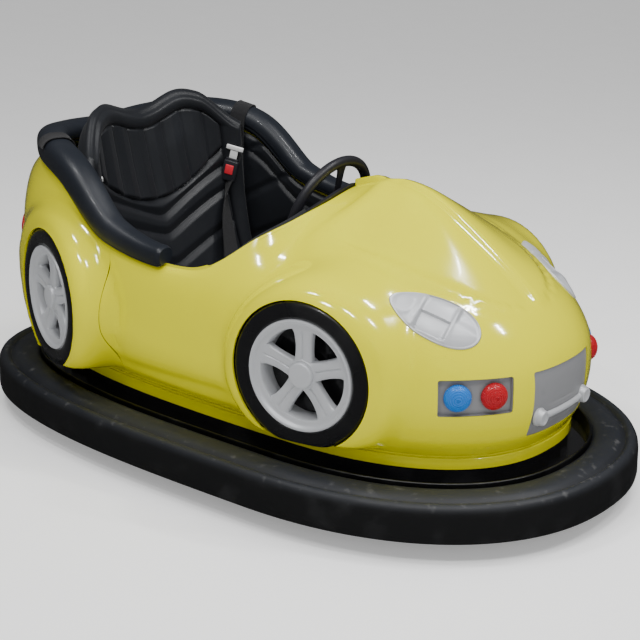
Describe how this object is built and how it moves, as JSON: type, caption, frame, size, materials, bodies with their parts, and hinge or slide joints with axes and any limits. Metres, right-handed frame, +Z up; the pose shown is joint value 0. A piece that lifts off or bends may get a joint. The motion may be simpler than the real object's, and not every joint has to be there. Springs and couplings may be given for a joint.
{
  "type": "bumper car",
  "caption": "Two-seat battery bumper car: glossy yellow body on a black rubber ring, padded cockpit, steering wheel and drive unit.",
  "frame": {"origin": "on the floor, at the centre of the car's box", "axes": "+X forward, +Y to the driver's left, +Z up"},
  "size_m": [1.95, 1.12, 0.866],
  "materials": {
    "black_steel": "gloss",
    "battery_case": "matte",
    "black_plastic": "satin",
    "blue_lens": "clear",
    "bright_steel": "satin",
    "bumper_rubber": "satin, scuffed",
    "leather": "satin",
    "motor_paint": "satin",
    "wheel_rubber": "matte",
    "tyre_rubber": "satin",
    "gelcoat": "high gloss",
    "silver_paint": "satin",
    "red_lens": "clear",
    "webbing": "woven"
  },
  "bodies": {
    "car": {"accelerator_pedal": "black_steel", "battery_pack": "battery_case", "belt_buckle_left": "black_plastic", "belt_buckle_right": "black_plastic", "blue_lamp_left": "blue_lens", "blue_lamp_right": "blue_lens", "body_frame": "black_steel", "bumper_band": "bright_steel", "bumper_ring": "bumper_rubber", "chassis_frame": "black_steel", "column_post": "black_steel", "dashboard": "leather", "drive_bridge": "black_steel", "dummy_tyre_front_left": "tyre_rubber", "dummy_tyre_front_right": "tyre_rubber", "dummy_tyre_rear_left": "tyre_rubber", "dummy_tyre_rear_right": "tyre_rubber", "floor_pan": "black_steel", "front_shell": "gelcoat", "headlight_left": "silver_paint", "headlight_right": "silver_paint", "lamp_panel_left": "silver_paint", "lamp_panel_right": "silver_paint", "nose_bar": "silver_paint", "nose_plate": "silver_paint", "rear_axle": "bright_steel", "rear_shell": "gelcoat", "red_lamp_left": "red_lens", "red_lamp_right": "red_lens", "rim_roll": "leather", "seat_back": "leather", "seat_belt_left": "webbing", "seat_belt_right": "webbing", "seat_box": "black_steel", "seat_cushion": "leather", "side_pad_left": "leather", "side_pad_right": "leather", "steering_column": "black_steel", "tail_lamp_left": "red_lens", "tail_lamp_right": "red_lens", "wheel_cover_front_left": "silver_paint", "wheel_cover_front_right": "silver_paint", "wheel_cover_rear_left": "silver_paint", "wheel_cover_rear_right": "silver_paint"},
    "steering": {"steering_wheel": "black_plastic", "steering_shaft": "bright_steel"},
    "drive_unit": {"drive_fork": "black_steel", "drive_motor": "motor_paint"},
    "drive_wheel": {"drive_wheel": "wheel_rubber"},
    "rear_wheel_left": {"rear_wheel_left": "wheel_rubber"},
    "rear_wheel_right": {"rear_wheel_right": "wheel_rubber"}
  },
  "joints": [
    {"name": "steering_turn", "type": "hinge", "parent": "car", "child": "steering", "pos_m": [0.08, 0, 0.655], "axis": [-0.9511, 0, 0.309], "continuous": true},
    {"name": "drive_yaw", "type": "hinge", "parent": "car", "child": "drive_unit", "pos_m": [0.5, 0, 0.1], "axis": [0, 0, 1], "continuous": true},
    {"name": "drive_spin", "type": "hinge", "parent": "drive_unit", "child": "drive_wheel", "pos_m": [0.5, 0, 0.1], "axis": [0, 1, 0], "continuous": true},
    {"name": "rear_left_spin", "type": "hinge", "parent": "car", "child": "rear_wheel_left", "pos_m": [-0.56, 0.25, 0.075], "axis": [0, 1, 0], "continuous": true},
    {"name": "rear_right_spin", "type": "hinge", "parent": "car", "child": "rear_wheel_right", "pos_m": [-0.56, -0.25, 0.075], "axis": [0, 1, 0], "continuous": true}
  ],
  "couplings": [
    {"joint": "drive_yaw", "follows": "steering_turn", "ratio": 1}
  ]
}
